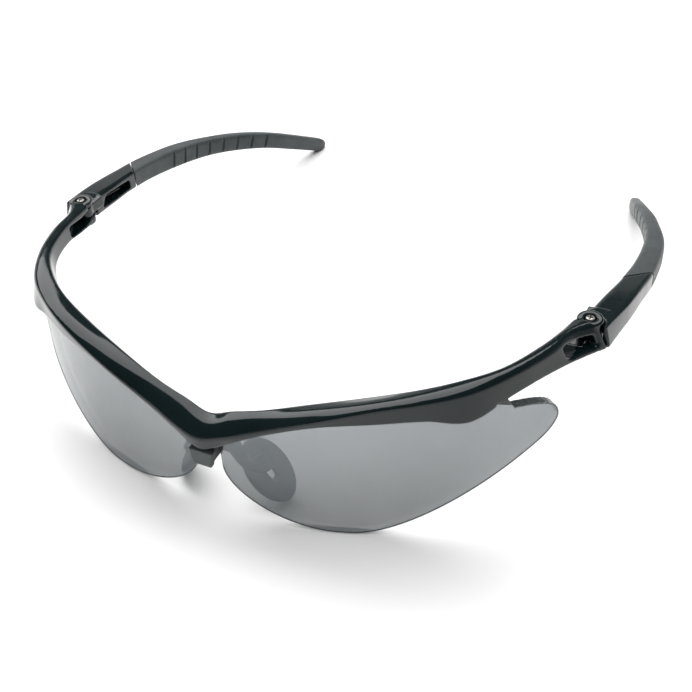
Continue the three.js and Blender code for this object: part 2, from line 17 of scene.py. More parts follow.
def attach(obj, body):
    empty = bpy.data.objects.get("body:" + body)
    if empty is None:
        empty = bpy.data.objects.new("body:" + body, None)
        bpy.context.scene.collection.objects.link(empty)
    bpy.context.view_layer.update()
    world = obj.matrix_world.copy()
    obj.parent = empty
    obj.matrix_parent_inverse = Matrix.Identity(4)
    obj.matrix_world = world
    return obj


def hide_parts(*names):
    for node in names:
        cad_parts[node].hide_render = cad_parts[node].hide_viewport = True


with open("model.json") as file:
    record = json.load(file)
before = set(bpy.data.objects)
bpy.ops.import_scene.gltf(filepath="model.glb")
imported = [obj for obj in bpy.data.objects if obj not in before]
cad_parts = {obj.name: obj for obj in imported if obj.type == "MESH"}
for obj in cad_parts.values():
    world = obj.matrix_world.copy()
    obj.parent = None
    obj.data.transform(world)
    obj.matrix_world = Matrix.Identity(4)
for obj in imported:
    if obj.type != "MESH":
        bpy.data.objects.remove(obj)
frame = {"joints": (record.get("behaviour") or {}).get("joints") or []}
bpy.context.view_layer.update()

MM = 0.001

# ---------------------------------------------------------------- driving dimensions, in millimetres

HINGE_X = 64.0
HINGE_Y = 51.2
HINGE_PLACE = Vector(frame["joints"][0]["pos_m"])
SHIFT_Y = HINGE_PLACE.y / MM - HINGE_Y  # from the drawing's own zero to the shared frame's

GAP = 0.3  # clearance between neighbouring pieces

LENS_THICKNESS = 1.9
ARRIS_RADIUS = 0.15  # of the dark line where the lens's front face meets its cut edge
EDGE_FOCUS_Y = 82.0  # the lens's edges are cut along lines that meet above X = 0 at this Y
WRAP_HALF_WIDTH = 68.5
WRAP_DEPTH = 49.0
WRAP_FRONT_Y = 1.6
NOTCH_HALF_WIDTH = 3.1
LENS_FLAT_START_X = 26.5  # the flat bottom edge that the lens stands on
LENS_FLAT_END_X = 29.0

LEAF_RADIUS = 2.8
LEAF_TOP_Z = 34.3
SLOT_TOP_Z = 32.9
SLOT_BOTTOM_Z = 29.8
LEAF_BOTTOM_Z = 28.0
SCREW_RADIUS = 0.6
SCREW_HEAD_RADIUS = 1.0
SCREW_HEAD_HEIGHT = 0.7
NUT_RADIUS = 1.5
NUT_HEIGHT = 1.3
KNUCKLE_RADIUS = 2.5
KNUCKLE_BORE_RADIUS = 0.9
WINDOW_FRONT_Y = 39.2  # the window in the frame's end, just in front of the hinge
WINDOW_REAR_Y = 48.3
FOLD_ROOM_Y = 54.8  # the arm's inner half starts here, so that it clears the frame when folded
TOOL_INNER_X = 50.0  # cutting tools at the hinge reach well past the frame's end on both sides
TOOL_OUTER_X = 76.0
TOOL_REAR_Y = 60.0

TEMPLE_START_Y = 50.2
JOINT_INNER = (64.6, 74.0)  # X and Y of the slanting joint between arm and sleeve
JOINT_OUTER = (70.8, 80.5)
TONGUE_LENGTH = 17.0
TONGUE_WIDTH = 2.6
TONGUE_HEIGHT = 2.2
GROOVE_COUNT = 8
GROOVE_FIRST_Y = 92.5
GROOVE_PITCH_Y = 4.9
GROOVE_WIDTH = 0.8
GROOVE_DEPTH = 0.5
TIP_ROUND_FROM = 0.965  # part of the temple's length

# Cross-sections of the brow bar from the middle to the left hinge: rear top, front top, front low.
BROW_SECTIONS = [
    [(0, 4.5, 25.4), (0, -1.6, 23), (0, -1, 19.4)],
    [(5.5, 4.8, 27.3), (6, -0.9, 24.4), (6, 0.1, 21.8)],
    [(12, 5.5, 29.2), (12, 0.6, 26.6), (12, 0.9, 25.1)],
    [(22, 7.7, 32.2), (24, 2.3, 32), (24, 2.9, 30.1)],
    [(33.5, 11.6, 34.8), (36, 6.3, 36.1), (36, 6.7, 32)],
    [(42, 15.5, 36.4), (44.3, 11.3, 36.8), (44.4, 11.1, 32)],
    [(48, 20, 37), (51.4, 17.6, 37), (51.4, 15.4, 30.6)],
    [(53.6, 26.5, 36.8), (57, 26.4, 36.5), (57.4, 25.2, 32.1)],
    [(57.8, 36.5, 35.8), (61, 36.8, 35.5), (62.5, 36.4, 31.2)],
    [(59.6, 43.5, 34.8), (62.6, 44.8, 34.8), (66, 44.8, 29.4)],
    [(60.8, 49.6, 34.1), (66, 49.8, 34.1), (68.6, 49.8, 28.4)],
]
CROWN_FORWARD = 0.58  # where the crown runs, from 0 at the rear edge to 1 at the front one
CROWN_CENTRE = 1.15  # how far the top bulges at the nose
CROWN_SIDE = 0.5  # and at the sides, from CROWN_FADE_X outwards
CROWN_FADE_X = 46.0
# Edge radii of a section: rear top, crown (as broad as it can be), front top, front low, rear low.
BROW_RADII = [0.7, 99, 0.8, 0.45, 0.5]

# Middle line of the left temple, then its width, its height and how far its outer face leans in
# towards the top, at these parts of its length.
TEMPLE_POINTS = [
    (65.2, 48, 31.2), (66.3, 60, 29.5), (67.3, 72, 27.5), (67.7, 84, 25.2), (66.2, 100, 21.8),
    (62, 114, 18.3), (57.1, 126.5, 13.8), (52.8, 141, 6.4), (50.1, 152.4, 0.2),
]
TEMPLE_WIDTH = [(0, 7), (0.12, 6.6), (0.24, 5.6), (0.4, 5.1), (0.58, 3.9), (0.75, 3.2), (1, 3)]
TEMPLE_HEIGHT = [(0, 5.2), (0.24, 4.8), (0.42, 5.2), (0.6, 4.9), (0.8, 4.5), (1, 4)]
OUTER_LEAN = [(0, 0.35), (0.14, 0.12), (0.26, 0)]
# How square the sections are, from 0 for a box to 1 for an ellipse.
ARM_SQUARENESS = 0.3
TONGUE_SQUARENESS = 0.35
SLEEVE_SQUARENESS = [(0.2, 0.3), (0.45, 0.42), (0.6, 0.55), (1, 0.6)]

PAD_CENTRE = np.array((9.8, 9.0, 8.3))
PAD_LENGTH = 17.0
PAD_WIDTH = 9.8
PAD_THICKNESS = 2.2
PAD_SLOT_LENGTH = 5.2
PAD_SLOT_WIDTH = 1.7
PAD_ARM_THICKNESS = 1.2
PEG_LENGTH = 1.1
PEG_SETBACK = 0.6  # from the gap at the slot's upper end to the peg's middle

TAB_WIDTH = 5.6
TAB_BOTTOM_WIDTH = 4.4
TAB_TOP_Z = 18.9
TAB_BOTTOM_Z = 15.0
TAB_FRONT_Y = -1.0
TAB_BACK_Y = 0.3
SADDLE_HALF_WIDTH = 2.5
SADDLE_BOTTOM_Z = 16.2
SADDLE_BACK_Y = 6.6
CROSS_PIECE_HALF_WIDTH = 4.4
CROSS_PIECE_FRONT_Y = 4.5

# How finely the meshes are made: steps along a sweep, and the voxel that rounds the moulded edges.
BROW_STEPS = 480
ARM_STEPS = 90
SLEEVE_STEPS = 620
TIP_STEPS = 26
BROW_VOXEL = 0.26
ARM_VOXEL = 0.22
BRIDGE_VOXEL = 0.16

# ---------------------------------------------------------------- curves


def unit(v):
    v = np.asarray(v, float)
    return v / np.linalg.norm(v)


def smooth_curve(points, steps):
    """A centripetal Catmull-Rom curve through the points, with that many steps."""
    p = np.asarray(points, float)
    p = np.vstack([2 * p[0] - p[1], p, 2 * p[-1] - p[-2]])
    out = []
    spans = len(p) - 3
    for step in range(steps + 1):
        u = step / steps * spans
        i = min(int(u), spans - 1)
        w = u - i
        a, b, c, d = p[i : i + 4]
        gaps = [max(np.linalg.norm(q - r) ** 0.5, 1e-4) for q, r in ((b, a), (c, b), (d, c))]
        g0, g1, g2 = gaps
        start = ((b - a) / g0 - (c - a) / (g0 + g1) + (c - b) / g1) * g1
        end = ((c - b) / g1 - (d - b) / (g1 + g2) + (d - c) / g2) * g1
        out.append(
            (2 * w**3 - 3 * w**2 + 1) * b
            + (w**3 - 2 * w**2 + w) * start
            + (3 * w**2 - 2 * w**3) * c
            + (w**3 - w**2) * end
        )
    return np.array(out)


def bezier(points, steps):
    """A quadratic or cubic Bezier curve, ends included."""
    p = np.asarray(points, float)
    order = len(p) - 1
    t = np.linspace(0, 1, steps + 1)[:, None]
    return sum(math.comb(order, k) * t**k * (1 - t) ** (order - k) * p[k] for k in range(order + 1))


def eased(table, t):
    """The value at t of a table of (t, value), eased between its rows."""
    for (t0, v0), (t1, v1) in zip(table, table[1:]):
        if t <= t1:
            w = np.clip((t - t0) / (t1 - t0), 0, 1)
            return v0 + (v1 - v0) * w * w * (3 - 2 * w)
    return table[-1][1]


class Line:
    """A curve walked by its length, from 0 to 1."""

    def __init__(self, points, steps=900):
        self.points = smooth_curve(points, steps)
        lengths = np.linalg.norm(np.diff(self.points, axis=0), axis=1)
        self.walked = np.concatenate([[0], np.cumsum(lengths)])
        self.length = self.walked[-1]

    def at(self, t):
        walk = np.clip(t, 0, 1) * self.length
        return np.array([np.interp(walk, self.walked, self.points[:, k]) for k in range(3)])

    def tangent(self, t):
        return unit(self.at(min(t + 0.004, 1)) - self.at(max(t - 0.004, 0)))

    def part_at_y(self, y):
        return float(np.interp(y, self.points[:, 1], self.walked)) / self.length


TEMPLE = Line(TEMPLE_POINTS)

# ---------------------------------------------------------------- meshes


def to_metres(points):
    return (np.asarray(points, float) + (0, SHIFT_Y, 0)) * MM


def new_object(name, points, faces):
    """A mesh object from points in millimetres on the drawing's axes."""
    mesh = bpy.data.meshes.new(name)
    mesh.from_pydata(to_metres(points).tolist(), [], [list(map(int, f)) for f in faces])
    mesh.validate()
    obj = bpy.data.objects.new(name, mesh)
    bpy.context.scene.collection.objects.link(obj)
    return turned_outward(obj)


def turned_outward(obj):
    bm = bmesh.new()
    bm.from_mesh(obj.data)
    bmesh.ops.recalc_face_normals(bm, faces=bm.faces)
    if bm.calc_volume(signed=True) < 0:
        bmesh.ops.reverse_faces(bm, faces=bm.faces)
    bm.to_mesh(obj.data)
    bm.free()
    return obj


def loft_data(rings, closed=False):
    """Points and faces of a tube through the rings, with flat ends unless it is closed on itself."""
    rings = np.asarray(rings, float)
    count, sides = rings.shape[:2]
    faces = []
    for r in range(count if closed else count - 1):
        nxt = (r + 1) % count
        for s in range(sides):
            t = (s + 1) % sides
            faces.append((r * sides + s, r * sides + t, nxt * sides + t, nxt * sides + s))
    if not closed:
        faces.append(tuple(range(sides))[::-1])
        faces.append(tuple((count - 1) * sides + s for s in range(sides)))
    return rings.reshape(-1, 3), faces


def loft(name, rings, closed=False):
    return new_object(name, *loft_data(rings, closed))


def along_x(a, b, depth):
    return (depth, a, b)


def along_y(a, b, depth):
    return (a, depth, b)


def along_z(a, b, depth):
    return (a, b, depth)


def prism(name, outline, low, high, to_space):
    """A flat outline made solid between two depths; to_space turns (a, b, depth) into x, y, z."""
    rings = [[to_space(a, b, depth) for a, b in outline] for depth in (low, high)]
    return loft(name, rings)


def drum(name, centre, radius, low, high, sides=64):
    """An upright cylinder."""
    angles = (np.arange(sides) + 0.5) / sides * 2 * math.pi
    rings = [
        [(centre[0] + radius * math.cos(a), centre[1] + radius * math.sin(a), z) for a in angles]
        for z in (low, high)
    ]
    return loft(name, rings)


def hinge_drum(name, radius, low, high, sides=64):
    return drum(name, (HINGE_X, HINGE_Y), radius, low, high, sides)


def block(name, low, high):
    corners = [(low[0], low[1]), (high[0], low[1]), (high[0], high[1]), (low[0], high[1])]
    return prism(name, corners, low[2], high[2], along_z)


def evaluated(obj):
    """Applies the object's modifiers."""
    graph = bpy.context.evaluated_depsgraph_get()
    mesh = bpy.data.meshes.new_from_object(obj.evaluated_get(graph), depsgraph=graph)
    obj.modifiers.clear()
    obj.data = mesh
    return obj


def cut(obj, tools, operation="DIFFERENCE"):
    """Takes each tool from the object, or joins or keeps the common part, and removes the tools."""
    for tool in tools:
        step = obj.modifiers.new("cut", "BOOLEAN")
        step.operation = operation
        step.solver = "MANIFOLD"
        step.object = tool
        evaluated(obj)
        bpy.data.objects.remove(tool)
    return obj


def mirrored(obj, name):
    """A copy of the object on the other side of the plane X = 0."""
    twin = obj.copy()
    twin.data = obj.data.copy()
    twin.name = name
    bpy.context.scene.collection.objects.link(twin)
    twin.data.transform(Matrix.Scale(-1, 4, (1, 0, 0)))
    twin.data.flip_normals()
    return twin


def both_sides(tools):
    return tools + [mirrored(tool, tool.name + "_twin") for tool in tools]


def moulded(obj, voxel, passes):
    """Rounds every edge a little, as a mould does, by rebuilding the surface and smoothing it."""
    rebuild = obj.modifiers.new("rebuild", "REMESH")
    rebuild.mode = "VOXEL"
    rebuild.voxel_size = voxel * MM
    rebuild.use_smooth_shade = True
    soften = obj.modifiers.new("soften", "SMOOTH")
    soften.factor = 0.5
    soften.iterations = passes
    return evaluated(obj)


def shade_smooth(obj, sharp_degrees=None):
    obj.data.polygons.foreach_set("use_smooth", [True] * len(obj.data.polygons))
    if sharp_degrees is not None:
        obj.data.set_sharp_from_angle(angle=math.radians(sharp_degrees))
    return obj


def placed(obj, name, body, node, material):
    """Names a finished piece, stands it in for its CAD node and hangs it on its body."""
    obj.name = name
    obj.data.name = name
    obj.data.materials.clear()
    obj.data.materials.append(material)
    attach(obj, body)
    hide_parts(node)


def rounded_corner(before, corner, after, radius, steps):
    """The short curve that rounds a corner between two neighbours."""
    start = corner + (before - corner) * min(radius / np.linalg.norm(before - corner), 0.45)
    end = corner + (after - corner) * min(radius / np.linalg.norm(after - corner), 0.45)
    return bezier([start, corner, end], steps)


def rounded_ring(corners, radii, steps=5):
    count = len(corners)
    parts = [
        rounded_corner(corners[i - 1], corners[i], corners[(i + 1) % count], radii[i], steps)
        for i in range(count)
    ]
    return np.vstack(parts)


# ---------------------------------------------------------------- material nodes


class Nodes:
    """A material's node tree, built by short calls."""

    def __init__(self, name):
        self.material = bpy.data.materials.new(name)
        self.material.use_nodes = True
        self.tree = self.material.node_tree
        self.tree.nodes.clear()
        self.surface = self.add("ShaderNodeBsdfPrincipled")
        output = self.add("ShaderNodeOutputMaterial")
        self.link(self.surface.outputs["BSDF"], output.inputs["Surface"])
        self.place = self.add("ShaderNodeTexCoord").outputs["Object"]

    def add(self, kind, **settings):
        node = self.tree.nodes.new(kind)
        for key, value in settings.items():
            setattr(node, key, value)
        return node

    def link(self, source, target):
        self.tree.links.new(source, target)

    def noise(self, scale, detail=3.0, roughness=0.55, stretch=None):
        """Noise over the object's own coordinates, with that many features a metre."""
        node = self.add("ShaderNodeTexNoise")
        node.inputs["Scale"].default_value = scale
        node.inputs["Detail"].default_value = detail
        node.inputs["Roughness"].default_value = roughness
        source = self.place
        if stretch:
            mapping = self.add("ShaderNodeMapping")
            mapping.inputs["Scale"].default_value = stretch
            self.link(source, mapping.inputs["Vector"])
            source = mapping.outputs["Vector"]
        self.link(source, node.inputs["Vector"])
        return node.outputs["Fac"]

    def ramp(self, source, stops):
        """A value or colour that follows the source between the stops."""
        node = self.add("ShaderNodeValToRGB")
        elements = node.color_ramp.elements
        while len(elements) < len(stops):
            elements.new(0.5)
        for element, (position, value) in zip(elements, stops):
            element.position = position
            colour = (value,) * 3 if isinstance(value, float) else value
            element.color = (*colour, 1)
        self.link(source, node.inputs["Fac"])
        return node.outputs["Color"]

    def math(self, operation, first, second):
        node = self.add("ShaderNodeMath", operation=operation)
        for socket, value in zip(node.inputs, (first, second)):
            if isinstance(value, (int, float)):
                socket.default_value = value
            else:
                self.link(value, socket)
        return node.outputs["Value"]

    def bump(self, height, strength, distance_mm):
        node = self.add("ShaderNodeBump")
        node.inputs["Strength"].default_value = strength
        node.inputs["Distance"].default_value = distance_mm * MM
        self.link(height, node.inputs["Height"])
        self.feed("Normal", node.outputs["Normal"])

    def set(self, **values):
        """Sets constants on the shader's own sockets; an underscore stands for a space."""
        for key, value in values.items():
            self.surface.inputs[key.replace("_", " ")].default_value = value

    def feed(self, socket, source):
        self.link(source, self.surface.inputs[socket])


def gloss_plastic():
    """Injection-moulded gloss black: faint flow marks and fine handling scratches."""
    m = Nodes("gloss_plastic")
    m.set(Metallic=0.0, IOR=1.42, Coat_Weight=0.15, Coat_Roughness=0.03, Coat_IOR=1.5)
    flow = [(0.3, (0.0018, 0.0060, 0.0066)), (0.75, (0.0040, 0.0095, 0.0105))]
    m.feed("Base Color", m.ramp(m.noise(90, 4), flow))
    scratches = m.math("MULTIPLY", m.noise(900, 2, 0.5, (1, 0.06, 1)), 0.05)
    smudges = m.ramp(m.noise(140, 3), [(0.35, 0.06), (0.75, 0.13)])
    m.feed("Roughness", m.math("ADD", smudges, scratches))
    m.bump(m.noise(380, 2), 0.12, 0.05)
    return m.material


def sleeve_rubber():
    """Soft over-moulded rubber: matt, finely grained, rubbed a little paler where it is handled."""
    m = Nodes("sleeve_rubber")
    m.set(Metallic=0.0, IOR=1.48, Sheen_Weight=0.12, Sheen_Roughness=0.5)
    rubbed = m.noise(110, 4)
    grain = m.noise(1500, 3, 0.75)
    tone = m.math("ADD", m.math("MULTIPLY", rubbed, 0.45), m.math("MULTIPLY", grain, 0.55))
    m.feed("Base Color", m.ramp(tone, [(0.32, (0.010, 0.015, 0.016)), (0.72, (0.036, 0.045, 0.047))]))
    m.feed("Roughness", m.ramp(m.noise(260, 3), [(0.3, 0.46), (0.75, 0.62)]))
    m.bump(grain, 0.55, 0.06)
    return m.material


def pad_rubber():
    """Smooth black rubber of the nose piece, with a faint bloom."""
    m = Nodes("pad_rubber")
    m.set(Metallic=0.0, IOR=1.48, Sheen_Weight=0.08)
    bloom = m.noise(240, 4)
    m.feed("Base Color", m.ramp(bloom, [(0.35, (0.040, 0.050, 0.049)), (0.8, (0.066, 0.077, 0.075))]))
    m.feed("Roughness", m.ramp(bloom, [(0.3, 0.38), (0.8, 0.55)]))
    m.bump(m.noise(4200, 2), 0.3, 0.02)
    return m.material


def mirrored_lens():
    """Grey polycarbonate with a silver flash coat, through which the pads and the table show faintly."""
    m = Nodes("mirrored_lens")
    m.set(Metallic=1.0, Alpha=0.64, IOR=1.58)
    haze = m.noise(60, 3)
    m.feed("Base Color", m.ramp(haze, [(0.3, (0.195, 0.213, 0.226)), (0.75, (0.225, 0.243, 0.254))]))
    m.feed("Roughness", m.ramp(m.noise(300, 4), [(0.35, 0.10), (0.8, 0.16)]))
    m.bump(m.noise(2600, 2), 0.04, 0.01)
    return m.material


def lens_edge(name, alpha, dark, light):
    """The lens's cut edge, where the tint is seen through its whole depth. The copy for faces that look
    down is painted paler and more see-through: painted light.
    """
    m = Nodes(name)
    m.set(Metallic=0.0, Alpha=alpha, IOR=1.58)
    m.feed("Base Color", m.ramp(m.noise(700, 3), [(0.3, dark), (0.8, light)]))
    m.feed("Roughness", m.ramp(m.noise(1500, 2), [(0.3, 0.16), (0.8, 0.3)]))
    return m.material


def turned_metal(name, dark, light):
    """Small turned hardware, with a fine bumpy grain and a little tarnish."""
    m = Nodes(name)
    m.set(Metallic=1.0)
    tarnish = m.noise(1400, 4)
    m.feed("Base Color", m.ramp(tarnish, [(0.3, dark), (0.7, light)]))
    m.feed("Roughness", m.ramp(tarnish, [(0.3, 0.2), (0.8, 0.36)]))
    m.bump(m.noise(6000, 2), 0.3, 0.01)
    return m.material


GLOSS = gloss_plastic()
SLEEVE = sleeve_rubber()
PAD = pad_rubber()
LENS = mirrored_lens()
UPPER_EDGE = lens_edge("lens_upper_edge", 0.95, (0.014, 0.020, 0.021), (0.032, 0.040, 0.042))
# Painted light: where the cut edge faces down it is painted paler and more see-through than the dark
# tint above, so the lower edge seen through the lens shows no dark band.
LOWER_EDGE_PAINTED_LIGHT = lens_edge("lens_lower_edge_painted_light", 0.6, (0.075, 0.085, 0.088), (0.12, 0.135, 0.138))
STEEL = turned_metal("screw_steel", (0.20, 0.20, 0.185), (0.44, 0.43, 0.395))
BRASS = turned_metal("nut_brass", (0.45, 0.34, 0.16), (0.74, 0.60, 0.34))

# ---------------------------------------------------------------- lens

POLISHED_COSINE = 0.9  # a face of the lens this square to the wrap belongs to its front or back


def wrap_y(x):
    """Y of the lens's front surface at a given X."""
    return WRAP_FRONT_Y + WRAP_DEPTH * (1 - math.sqrt(max(0.0, 1 - (x / WRAP_HALF_WIDTH) ** 2)))


def lens_shell(name, margin):
    """The wrap's front surface and the shell behind it, as an upright slice of an elliptical tube."""
    angles = np.linspace(math.pi, 2 * math.pi, 181)
    centre_y = WRAP_FRONT_Y + WRAP_DEPTH
    inward = LENS_THICKNESS + margin

    def arc(width, depth):
        return [(width * math.cos(a), centre_y + depth * math.sin(a)) for a in angles]

    outer = arc(WRAP_HALF_WIDTH + margin, WRAP_DEPTH + margin)
    inner = arc(WRAP_HALF_WIDTH - inward, WRAP_DEPTH - inward)[::-1]
    return prism(name, outer + inner, -10, 50, along_z)


def lens_top_edge(lift):
    """The lens's upper edge from the middle outwards; it sits in the brow's groove up to x = 55."""
    edge = [(0, 21.4), (10, 25.3), (20, 29.4), (30, 32.4), (40, 33.9), (50, 33.4), (55, 31.8)]
    return [(x, z + lift) for x, z in smooth_curve(edge, 40)]


def edge_cutter(name, half_outline):
    """Cuts the shell to an outline given on its front surface, nearly square to that surface."""
    spread = [(x * EDGE_FOCUS_Y / (EDGE_FOCUS_Y - wrap_y(x)), z) for x, z in half_outline]
    other = [(-x, z) for x, z in spread[::-1] if x > 1e-6]

    def narrowed(a, b, y):
        return (a * (1 - y / EDGE_FOCUS_Y), y, b)

    return prism(name, spread + other, 0, 60, narrowed)


def lens_free_edge():
    """The left half of the edge that the brow leaves bare, from the nose notch to the lobe's top."""
    inner = bezier([(NOTCH_HALF_WIDTH, 14), (3.2, 6.5), (16.5, 0), (LENS_FLAT_START_X, 0)], 26)
    outer = bezier([(LENS_FLAT_END_X, 0), (37, 0), (50.2, 8.6), (61.6, 18.7)], 26)
    tip = bezier([(61.6, 18.7), (63.1, 20.2), (64, 22), (63.8, 23.8)], 8)
    lobe = bezier([(63.8, 23.8), (63.5, 27.2), (61.4, 29.2), (57.4, 30)], 10)
    return [tuple(p) for row in (inner, outer, tip[1:], lobe[1:]) for p in row]


def lens_half_outline():
    """The lens's left half, from the nose notch round the lower edge to the middle of the top."""
    notch = [(0, 20.3), (NOTCH_HALF_WIDTH - 0.5, 20.3), (NOTCH_HALF_WIDTH, 19.6)]
    return notch + lens_free_edge() + lens_top_edge(0)[::-1]


def wrap_normal(x, y):
    """The outward normal of the upright elliptical surfaces at x, y in drawing millimetres."""
    centre_y = WRAP_FRONT_Y + WRAP_DEPTH
    return unit((x / WRAP_HALF_WIDTH**2, (y - centre_y) / WRAP_DEPTH**2, 0))


def lens_arris():
    """The sharp front arris of the free edge, which shows as a thin dark line round the lens: a
    fine tube, set half its radius back into the front face."""
    path = np.array([(x, wrap_y(x), z) for x, z in lens_free_edge()])
    angles = np.arange(8) / 8 * 2 * math.pi
    rings = []
    for place, step in zip(path, np.gradient(path, axis=0)):
        front = wrap_normal(place[0], place[1])
        inward = unit(np.cross(front, step))
        centre = place + ARRIS_RADIUS * (inward - 0.5 * front)
        ring = np.outer(np.cos(angles), inward) + np.outer(np.sin(angles), front)
        rings.append(centre + ARRIS_RADIUS * ring)
    return loft("arris", rings)


def joined(obj, extras, slot_number):
    """Adds the extras' meshes to the object's, in the given material slot."""
    mesh = bmesh.new()
    mesh.from_mesh(obj.data)
    for extra in extras:
        first = len(mesh.faces)
        mesh.from_mesh(extra.data)
        mesh.faces.ensure_lookup_table()
        for face in mesh.faces[first:]:
            face.material_index = slot_number
        bpy.data.objects.remove(extra)
    mesh.to_mesh(obj.data)
    mesh.free()


def smooth_lens(obj, lens_faces):
    """Gives the two polished faces the true normals of the curve and the cut edge its materials.

    The first lens_faces faces are the lens itself, in slot 0. The cut edge takes slot 1 where it
    faces up and slot 2 elsewhere, a copy painted paler as painted light. The faces after them are the
    arris, which keeps its own slot.
    """
    mesh = obj.data
    normals = []
    for face in mesh.polygons:
        face_normal = np.array(face.normal)
        x, y, _ = np.array(face.center) / MM
        side = float(wrap_normal(x, y - SHIFT_Y) @ face_normal)
        in_lens = face.index < lens_faces
        polished = in_lens and abs(side) > POLISHED_COSINE
        for v in face.vertices:
            x, y, _ = np.array(mesh.vertices[v].co) / MM
            curved = wrap_normal(x, y - SHIFT_Y) * math.copysign(1, side)
            normals.append(tuple(curved if polished else face_normal))
        if in_lens and not polished:
            face.material_index = 1 if face_normal[2] > 0 else 2
        face.use_smooth = True
    mesh.normals_split_custom_set(normals)


def build_lens():
    lens = cut(lens_shell("lens_shape", 0), [edge_cutter("outline", lens_half_outline())], "INTERSECT")
    placed(lens, "lens_shell", "front", "lens", LENS)
    lens.data.materials.append(UPPER_EDGE)
    lens.data.materials.append(LOWER_EDGE_PAINTED_LIGHT)
    lens_faces = len(lens.data.polygons)
    joined(lens, both_sides([lens_arris()]), 1)
    smooth_lens(lens, lens_faces)


def lens_groove():
    """The space that the lens needs under the brow."""
    beyond = [(57.4, 31), (65, 30.6), (65, -5), (0, -5)]
    tool = edge_cutter("groove", lens_top_edge(GAP) + beyond)
    return cut(lens_shell("groove_shell", GAP), [tool], "INTERSECT")


# ---------------------------------------------------------------- brow frame


def brow_edge(pick):
    """One edge of the bar, through the point that pick takes from each section."""
    left = [np.array(pick(section), float) for section in BROW_SECTIONS]
    right = [p * (-1, 1, 1) for p in left[:0:-1]]
    return smooth_curve(right + left, BROW_STEPS)


def rear_low(section):
    """The section's fourth edge: just behind the rear top in plan, just above the front low."""
    (x, y, _), _, low = section
    return (x - 0.2 * np.sign(x), y + 0.7, low[2] + 0.4)


def brow_bar():
    rear = brow_edge(lambda section: section[0])
    front = brow_edge(lambda section: section[1])
    low = brow_edge(lambda section: section[2])
    back = brow_edge(rear_low)
    sideways = np.clip(np.abs(rear[:, :1]) / CROWN_FADE_X, 0, 1)
    lift = CROWN_CENTRE + (CROWN_SIDE - CROWN_CENTRE) * sideways
    crown = rear * (1 - CROWN_FORWARD) + front * CROWN_FORWARD + lift * (0, 0, 1)
    rings = [rounded_ring(corners, BROW_RADII, 6) for corners in zip(rear, crown, front, low, back)]
    return loft("brow_bar", rings)


def hinge_window():
    """The window right through the frame's end. It drops towards the hinge and its ends are rounded."""
    front, rear = WINDOW_FRONT_Y, WINDOW_REAR_Y
    corners = np.array([(front, 34.5), (rear, 32.35), (rear, 29.8), (front, 31.5)])
    outline = rounded_ring(corners, [1.5, 0.8, 0.8, 1.5], 8)
    return prism("window", outline, TOOL_INNER_X, TOOL_OUTER_X, along_x)


def knuckle_room():
    """The room between the leaves: open to the inside and the rear, with a thin wall outside."""
    low, high = SLOT_BOTTOM_Z, SLOT_TOP_Z
    return [
        block("inside", (TOOL_INNER_X, WINDOW_REAR_Y - 2, low), (HINGE_X, TOOL_REAR_Y, high)),
        hinge_drum("round", KNUCKLE_RADIUS + GAP, low, high),
        block("behind", (TOOL_INNER_X, HINGE_Y, low), (TOOL_OUTER_X, TOOL_REAR_Y, high)),
    ]


def build_brow():
    brow = brow_bar()
    cut(brow, [lens_groove()])
    cut(brow, both_sides([hinge_drum("leaves", LEAF_RADIUS, LEAF_BOTTOM_Z, LEAF_TOP_Z)]), "UNION")
    seat_bottom = LEAF_TOP_Z - SCREW_HEAD_HEIGHT - GAP
    tools = [
        hinge_window(),
        *knuckle_room(),
        hinge_drum("head_seat", SCREW_HEAD_RADIUS + GAP, seat_bottom, LEAF_TOP_Z + 2),
        hinge_drum("shaft_hole", SCREW_RADIUS + GAP, LEAF_BOTTOM_Z - 1, LEAF_TOP_Z + 1, 32),
        hinge_drum("nut_pocket", NUT_RADIUS + GAP, LEAF_BOTTOM_Z - 1, SLOT_BOTTOM_Z + 0.1, 6),
    ]
    cut(brow, both_sides(tools))
    moulded(brow, BROW_VOXEL, passes=5)
    placed(brow, "brow_shell", "front", "brow_frame", GLOSS)


# ---------------------------------------------------------------- hinge hardware


def lathe(name, profile, sides=48):
    """A solid turned about the left hinge's axis, from (radius, z) points; both its ends are flat."""
    angles = np.arange(sides) / sides * 2 * math.pi
    rings = [
        [(HINGE_X + r * math.cos(a), HINGE_Y + r * math.sin(a), z) for a in angles]
        for r, z in profile
    ]
    return loft(name, rings)


def screw_shape():
    """The hinge's screw, with a cross recess in its head."""
    top = LEAF_TOP_Z
    under = top - SCREW_HEAD_HEIGHT
    shaft_end = LEAF_BOTTOM_Z + 0.4
    profile = [
        (0.3, shaft_end), (SCREW_RADIUS - 0.15, shaft_end), (SCREW_RADIUS, shaft_end + 0.2),
        (SCREW_RADIUS, under), (SCREW_HEAD_RADIUS - 0.06, under), (SCREW_HEAD_RADIUS, under + 0.06),
        (SCREW_HEAD_RADIUS, top - 0.2), (SCREW_HEAD_RADIUS - 0.08, top - 0.07),
        (SCREW_HEAD_RADIUS - 0.22, top), (0.3, top),
    ]
    screw = lathe("screw_shape", profile)
    for half_x, half_y in ((0.7, 0.15), (0.15, 0.7)):
        low = (HINGE_X - half_x, HINGE_Y - half_y, top - 0.45)
        high = (HINGE_X + half_x, HINGE_Y + half_y, top + 1)
        cut(screw, [block("recess", low, high)])
    return shade_smooth(screw, 40)


